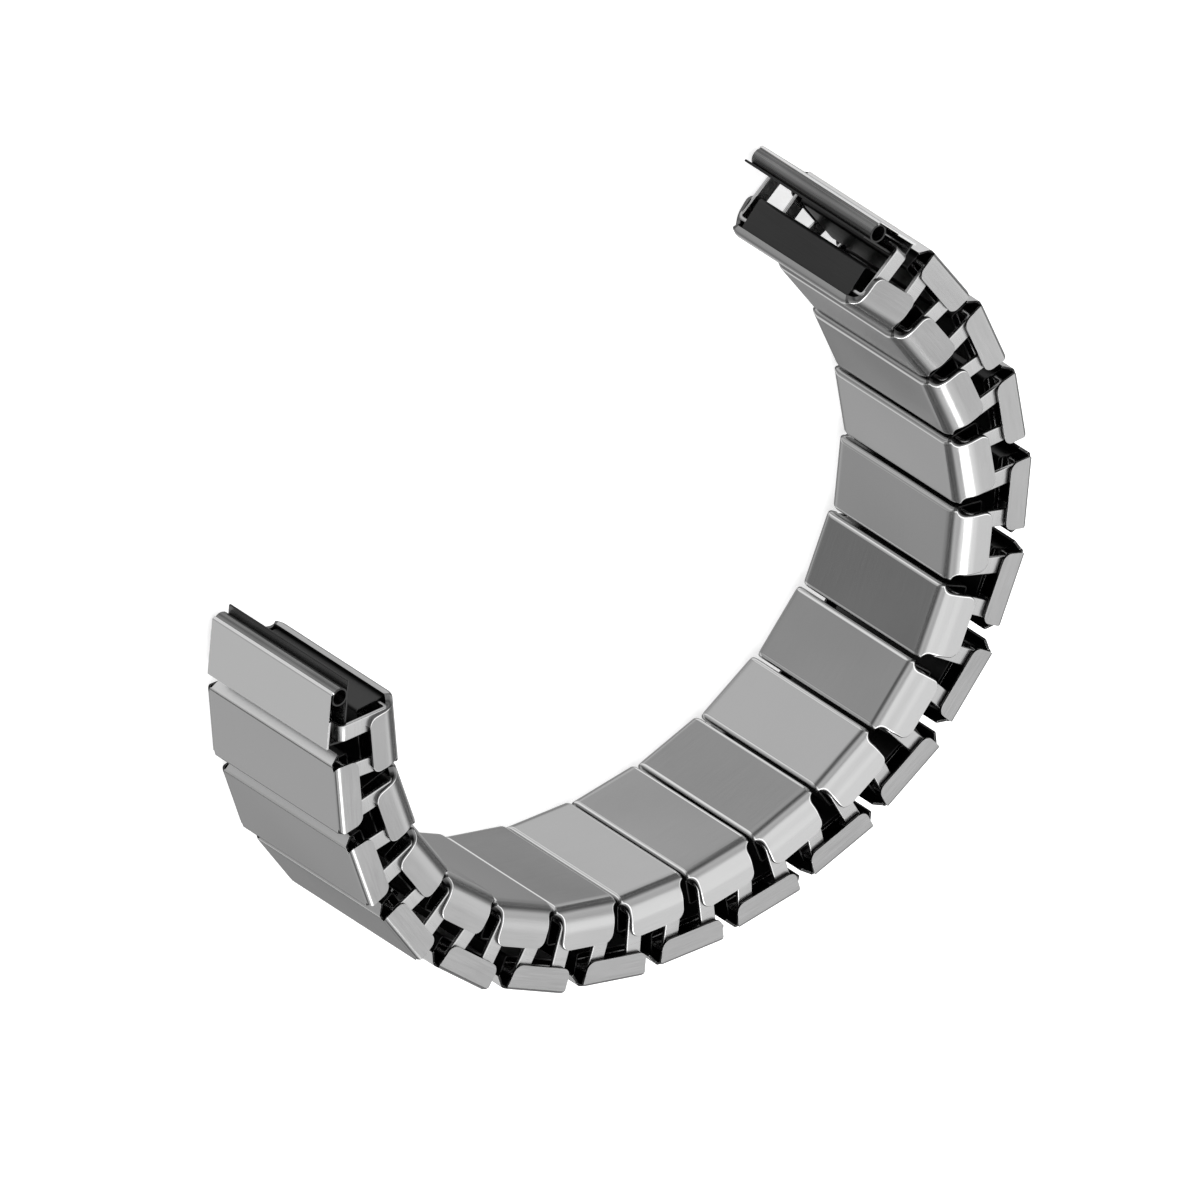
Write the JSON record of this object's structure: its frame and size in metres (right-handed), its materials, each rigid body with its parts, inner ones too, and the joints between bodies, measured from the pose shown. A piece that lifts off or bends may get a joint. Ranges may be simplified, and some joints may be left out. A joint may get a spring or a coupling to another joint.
{
  "type": "expansion watch bracelet",
  "caption": "C-shaped expansion watch bracelet: two staggered rows of hollow sheet-steel links joined along both edges by flat U-shaped bows, with a narrow end piece at each end.",
  "frame": {"origin": "middle of the bounding box, on the plane that the side tabs lie on", "axes": "+Z along the wrist axis, across the band; +Y towards the opening for the watch head; +X towards the right end piece's side"},
  "size_m": [0.072, 0.0531, 0.0168],
  "materials": {
    "link": "satin brushed covers with fine polished edges",
    "bow": "plain rolled strip, pale grey",
    "end": "satin"
  },
  "bodies": {
    "end_piece_left": {"end_piece_left": "end"},
    "inner_link_01": {"inner_link_01": "link"},
    "bow_pair_01": {"bow_pair_01": "bow"},
    "outer_link_01": {"outer_link_01": "link"},
    "inner_link_02": {"inner_link_02": "link"},
    "bow_pair_02": {"bow_pair_02": "bow"},
    "outer_link_02": {"outer_link_02": "link"},
    "inner_link_03": {"inner_link_03": "link"},
    "bow_pair_03": {"bow_pair_03": "bow"},
    "outer_link_03": {"outer_link_03": "link"},
    "inner_link_04": {"inner_link_04": "link"},
    "bow_pair_04": {"bow_pair_04": "bow"},
    "outer_link_04": {"outer_link_04": "link"},
    "inner_link_05": {"inner_link_05": "link"},
    "bow_pair_05": {"bow_pair_05": "bow"},
    "outer_link_05": {"outer_link_05": "link"},
    "inner_link_06": {"inner_link_06": "link"},
    "bow_pair_06": {"bow_pair_06": "bow"},
    "outer_link_06": {"outer_link_06": "link"},
    "inner_link_07": {"inner_link_07": "link"},
    "bow_pair_07": {"bow_pair_07": "bow"},
    "outer_link_07": {"outer_link_07": "link"},
    "inner_link_08": {"inner_link_08": "link"},
    "bow_pair_08": {"bow_pair_08": "bow"},
    "outer_link_08": {"outer_link_08": "link"},
    "inner_link_09": {"inner_link_09": "link"},
    "bow_pair_09": {"bow_pair_09": "bow"},
    "outer_link_09": {"outer_link_09": "link"},
    "inner_link_10": {"inner_link_10": "link"},
    "bow_pair_10": {"bow_pair_10": "bow"},
    "outer_link_10": {"outer_link_10": "link"},
    "inner_link_11": {"inner_link_11": "link"},
    "bow_pair_11": {"bow_pair_11": "bow"},
    "outer_link_11": {"outer_link_11": "link"},
    "inner_link_12": {"inner_link_12": "link"},
    "bow_pair_12": {"bow_pair_12": "bow"},
    "outer_link_12": {"outer_link_12": "link"},
    "inner_link_13": {"inner_link_13": "link"},
    "bow_pair_13": {"bow_pair_13": "bow"},
    "outer_link_13": {"outer_link_13": "link"},
    "inner_link_14": {"inner_link_14": "link"},
    "bow_pair_14": {"bow_pair_14": "bow"},
    "outer_link_14": {"outer_link_14": "link"},
    "inner_link_15": {"inner_link_15": "link"},
    "bow_pair_15": {"bow_pair_15": "bow"},
    "outer_link_15": {"outer_link_15": "link"},
    "inner_link_16": {"inner_link_16": "link"},
    "bow_pair_16": {"bow_pair_16": "bow"},
    "outer_link_16": {"outer_link_16": "link"},
    "inner_link_17": {"inner_link_17": "link"},
    "bow_pair_17": {"bow_pair_17": "bow"},
    "end_piece_right": {"end_piece_right": "end"}
  },
  "joints": [
    {"name": "bend_01", "type": "hinge", "parent": "end_piece_left", "child": "inner_link_01", "pos_m": [-0.03241, 0.02096, 0.0084], "axis": [0, 0, 1], "range_deg": [-10.93, 1]},
    {"name": "stretch_01", "type": "hinge", "parent": "inner_link_01", "child": "bow_pair_01", "pos_m": [-0.02895, 0.0154, 0.0084], "axis": [0, 0, 1], "range_deg": [0, 27], "stiffness_Nm_per_rad": 0.02},
    {"name": "level_01", "type": "hinge", "parent": "bow_pair_01", "child": "outer_link_01", "pos_m": [-0.0334, 0.0172, 0.0084], "axis": [0, 0, 1], "range_deg": [-27, 0]},
    {"name": "bend_02", "type": "hinge", "parent": "outer_link_01", "child": "inner_link_02", "pos_m": [-0.03448, 0.0132, 0.0084], "axis": [0, 0, 1], "range_deg": [-13.41, 1]},
    {"name": "stretch_02", "type": "hinge", "parent": "inner_link_02", "child": "bow_pair_02", "pos_m": [-0.02984, 0.00839, 0.0084], "axis": [0, 0, 1], "range_deg": [0, 27], "stiffness_Nm_per_rad": 0.02},
    {"name": "level_02", "type": "hinge", "parent": "bow_pair_02", "child": "outer_link_02", "pos_m": [-0.03459, 0.00911, 0.0084], "axis": [0, 0, 1], "range_deg": [-27, 0]},
    {"name": "bend_03", "type": "hinge", "parent": "outer_link_02", "child": "inner_link_03", "pos_m": [-0.03471, 0.00498, 0.0084], "axis": [0, 0, 1], "range_deg": [-15.46, 1]},
    {"name": "stretch_03", "type": "hinge", "parent": "inner_link_03", "child": "bow_pair_03", "pos_m": [-0.02894, 0.0014, 0.0084], "axis": [0, 0, 1], "range_deg": [0, 27], "stiffness_Nm_per_rad": 0.02},
    {"name": "level_03", "type": "hinge", "parent": "bow_pair_03", "child": "outer_link_03", "pos_m": [-0.03371, 0.00083, 0.0084], "axis": [0, 0, 1], "range_deg": [-27, 0]},
    {"name": "bend_04", "type": "hinge", "parent": "outer_link_03", "child": "inner_link_04", "pos_m": [-0.03272, -0.00319, 0.0084], "axis": [0, 0, 1], "range_deg": [-16.12, 1]},
    {"name": "stretch_04", "type": "hinge", "parent": "inner_link_04", "child": "bow_pair_04", "pos_m": [-0.02617, -0.00507, 0.0084], "axis": [0, 0, 1], "range_deg": [0, 27], "stiffness_Nm_per_rad": 0.02},
    {"name": "level_04", "type": "hinge", "parent": "bow_pair_04", "child": "outer_link_04", "pos_m": [-0.03059, -0.00694, 0.0084], "axis": [0, 0, 1], "range_deg": [-27, 0]},
    {"name": "bend_05", "type": "hinge", "parent": "outer_link_04", "child": "inner_link_05", "pos_m": [-0.02853, -0.01053, 0.0084], "axis": [0, 0, 1], "range_deg": [-15.12, 1]},
    {"name": "stretch_05", "type": "hinge", "parent": "inner_link_05", "child": "bow_pair_05", "pos_m": [-0.02176, -0.01057, 0.0084], "axis": [0, 0, 1], "range_deg": [0, 27], "stiffness_Nm_per_rad": 0.02},
    {"name": "level_05", "type": "hinge", "parent": "bow_pair_05", "child": "outer_link_05", "pos_m": [-0.02554, -0.01353, 0.0084], "axis": [0, 0, 1], "range_deg": [-27, 0]},
    {"name": "bend_06", "type": "hinge", "parent": "outer_link_05", "child": "inner_link_06", "pos_m": [-0.02262, -0.01646, 0.0084], "axis": [0, 0, 1], "range_deg": [-13.06, 1]},
    {"name": "stretch_06", "type": "hinge", "parent": "inner_link_06", "child": "bow_pair_06", "pos_m": [-0.01615, -0.01486, 0.0084], "axis": [0, 0, 1], "range_deg": [0, 27], "stiffness_Nm_per_rad": 0.02},
    {"name": "level_06", "type": "hinge", "parent": "bow_pair_06", "child": "outer_link_06", "pos_m": [-0.01916, -0.0186, 0.0084], "axis": [0, 0, 1], "range_deg": [-27, 0]},
    {"name": "bend_07", "type": "hinge", "parent": "outer_link_06", "child": "inner_link_07", "pos_m": [-0.01565, -0.02078, 0.0084], "axis": [0, 0, 1], "range_deg": [-11.04, 1]},
    {"name": "stretch_07", "type": "hinge", "parent": "inner_link_07", "child": "bow_pair_07", "pos_m": [-0.00976, -0.01791, 0.0084], "axis": [0, 0, 1], "range_deg": [0, 27], "stiffness_Nm_per_rad": 0.02},
    {"name": "level_07", "type": "hinge", "parent": "bow_pair_07", "child": "outer_link_07", "pos_m": [-0.012, -0.02215, 0.0084], "axis": [0, 0, 1], "range_deg": [-27, 0]},
    {"name": "bend_08", "type": "hinge", "parent": "outer_link_07", "child": "inner_link_08", "pos_m": [-0.00813, -0.02362, 0.0084], "axis": [0, 0, 1], "range_deg": [-10.16, 1]},
    {"name": "stretch_08", "type": "hinge", "parent": "inner_link_08", "child": "bow_pair_08", "pos_m": [-0.00292, -0.01973, 0.0084], "axis": [0, 0, 1], "range_deg": [0, 27], "stiffness_Nm_per_rad": 0.02},
    {"name": "level_08", "type": "hinge", "parent": "bow_pair_08", "child": "outer_link_08", "pos_m": [-0.00438, -0.02431, 0.0084], "axis": [0, 0, 1], "range_deg": [-27, 0]},
    {"name": "bend_09", "type": "hinge", "parent": "outer_link_08", "child": "inner_link_09", "pos_m": [-0.00031, -0.02508, 0.0084], "axis": [0, 0, 1], "range_deg": [-10.94, 1]},
    {"name": "stretch_09", "type": "hinge", "parent": "inner_link_09", "child": "bow_pair_09", "pos_m": [0.00414, -0.02027, 0.0084], "axis": [0, 0, 1], "range_deg": [0, 27], "stiffness_Nm_per_rad": 0.02},
    {"name": "level_09", "type": "hinge", "parent": "bow_pair_09", "child": "outer_link_09", "pos_m": [0.00358, -0.02504, 0.0084], "axis": [0, 0, 1], "range_deg": [-27, 0]},
    {"name": "bend_10", "type": "hinge", "parent": "outer_link_09", "child": "inner_link_10", "pos_m": [0.00772, -0.02502, 0.0084], "axis": [0, 0, 1], "range_deg": [-13.07, 1]},
    {"name": "stretch_10", "type": "hinge", "parent": "inner_link_10", "child": "bow_pair_10", "pos_m": [0.01114, -0.0193, 0.0084], "axis": [0, 0, 1], "range_deg": [0, 27], "stiffness_Nm_per_rad": 0.02},
    {"name": "level_10", "type": "hinge", "parent": "bow_pair_10", "child": "outer_link_10", "pos_m": [0.01167, -0.02408, 0.0084], "axis": [0, 0, 1], "range_deg": [-27, 0]},
    {"name": "bend_11", "type": "hinge", "parent": "outer_link_10", "child": "inner_link_11", "pos_m": [0.0157, -0.02312, 0.0084], "axis": [0, 0, 1], "range_deg": [-15.53, 1]},
    {"name": "stretch_11", "type": "hinge", "parent": "inner_link_11", "child": "bow_pair_11", "pos_m": [0.01766, -0.01662, 0.0084], "axis": [0, 0, 1], "range_deg": [0, 27], "stiffness_Nm_per_rad": 0.02},
    {"name": "level_11", "type": "hinge", "parent": "bow_pair_11", "child": "outer_link_11", "pos_m": [0.01944, -0.02108, 0.0084], "axis": [0, 0, 1], "range_deg": [-27, 0]},
    {"name": "bend_12", "type": "hinge", "parent": "outer_link_11", "child": "inner_link_12", "pos_m": [0.02307, -0.01908, 0.0084], "axis": [0, 0, 1], "range_deg": [-17.18, 1]},
    {"name": "stretch_12", "type": "hinge", "parent": "inner_link_12", "child": "bow_pair_12", "pos_m": [0.02314, -0.01221, 0.0084], "axis": [0, 0, 1], "range_deg": [0, 27], "stiffness_Nm_per_rad": 0.02},
    {"name": "level_12", "type": "hinge", "parent": "bow_pair_12", "child": "outer_link_12", "pos_m": [0.02616, -0.01594, 0.0084], "axis": [0, 0, 1], "range_deg": [-27, 0]},
    {"name": "bend_13", "type": "hinge", "parent": "outer_link_12", "child": "inner_link_13", "pos_m": [0.02903, -0.01296, 0.0084], "axis": [0, 0, 1], "range_deg": [-17.24, 1]},
    {"name": "stretch_13", "type": "hinge", "parent": "inner_link_13", "child": "bow_pair_13", "pos_m": [0.02706, -0.00638, 0.0084], "axis": [0, 0, 1], "range_deg": [0, 27], "stiffness_Nm_per_rad": 0.02},
    {"name": "level_13", "type": "hinge", "parent": "bow_pair_13", "child": "outer_link_13", "pos_m": [0.03105, -0.00905, 0.0084], "axis": [0, 0, 1], "range_deg": [-27, 0]},
    {"name": "bend_14", "type": "hinge", "parent": "outer_link_13", "child": "inner_link_14", "pos_m": [0.03292, -0.00535, 0.0084], "axis": [0, 0, 1], "range_deg": [-15.77, 1]},
    {"name": "stretch_14", "type": "hinge", "parent": "inner_link_14", "child": "bow_pair_14", "pos_m": [0.02919, 0.00034, 0.0084], "axis": [0, 0, 1], "range_deg": [0, 27], "stiffness_Nm_per_rad": 0.02},
    {"name": "level_14", "type": "hinge", "parent": "bow_pair_14", "child": "outer_link_14", "pos_m": [0.03375, -0.00114, 0.0084], "axis": [0, 0, 1], "range_deg": [-27, 0]},
    {"name": "bend_15", "type": "hinge", "parent": "outer_link_14", "child": "inner_link_15", "pos_m": [0.03454, 0.00292, 0.0084], "axis": [0, 0, 1], "range_deg": [-13.58, 1]},
    {"name": "stretch_15", "type": "hinge", "parent": "inner_link_15", "child": "bow_pair_15", "pos_m": [0.02957, 0.00739, 0.0084], "axis": [0, 0, 1], "range_deg": [0, 27], "stiffness_Nm_per_rad": 0.02},
    {"name": "level_15", "type": "hinge", "parent": "bow_pair_15", "child": "outer_link_15", "pos_m": [0.03435, 0.00702, 0.0084], "axis": [0, 0, 1], "range_deg": [-27, 0]},
    {"name": "bend_16", "type": "hinge", "parent": "outer_link_15", "child": "inner_link_16", "pos_m": [0.03416, 0.01116, 0.0084], "axis": [0, 0, 1], "range_deg": [-11.86, 1]},
    {"name": "stretch_16", "type": "hinge", "parent": "inner_link_16", "child": "bow_pair_16", "pos_m": [0.0284, 0.01436, 0.0084], "axis": [0, 0, 1], "range_deg": [0, 27], "stiffness_Nm_per_rad": 0.02},
    {"name": "level_16", "type": "hinge", "parent": "bow_pair_16", "child": "outer_link_16", "pos_m": [0.03316, 0.01499, 0.0084], "axis": [0, 0, 1], "range_deg": [-27, 0]},
    {"name": "bend_17", "type": "hinge", "parent": "outer_link_16", "child": "inner_link_17", "pos_m": [0.03212, 0.019, 0.0084], "axis": [0, 0, 1], "range_deg": [-11.54, 1]},
    {"name": "stretch_17", "type": "hinge", "parent": "inner_link_17", "child": "bow_pair_17", "pos_m": [0.02584, 0.02096, 0.0084], "axis": [0, 0, 1], "range_deg": [0, 27], "stiffness_Nm_per_rad": 0.02},
    {"name": "level_17", "type": "hinge", "parent": "bow_pair_17", "child": "end_piece_right", "pos_m": [0.03038, 0.02252, 0.0084], "axis": [0, 0, 1], "range_deg": [-27, 0]}
  ],
  "couplings": [
    {"joint": "level_01", "follows": "stretch_01", "ratio": -1},
    {"joint": "level_02", "follows": "stretch_02", "ratio": -1},
    {"joint": "level_03", "follows": "stretch_03", "ratio": -1},
    {"joint": "level_04", "follows": "stretch_04", "ratio": -1},
    {"joint": "level_05", "follows": "stretch_05", "ratio": -1},
    {"joint": "level_06", "follows": "stretch_06", "ratio": -1},
    {"joint": "level_07", "follows": "stretch_07", "ratio": -1},
    {"joint": "level_08", "follows": "stretch_08", "ratio": -1},
    {"joint": "level_09", "follows": "stretch_09", "ratio": -1},
    {"joint": "level_10", "follows": "stretch_10", "ratio": -1},
    {"joint": "level_11", "follows": "stretch_11", "ratio": -1},
    {"joint": "level_12", "follows": "stretch_12", "ratio": -1},
    {"joint": "level_13", "follows": "stretch_13", "ratio": -1},
    {"joint": "level_14", "follows": "stretch_14", "ratio": -1},
    {"joint": "level_15", "follows": "stretch_15", "ratio": -1},
    {"joint": "level_16", "follows": "stretch_16", "ratio": -1},
    {"joint": "level_17", "follows": "stretch_17", "ratio": -1}
  ]
}
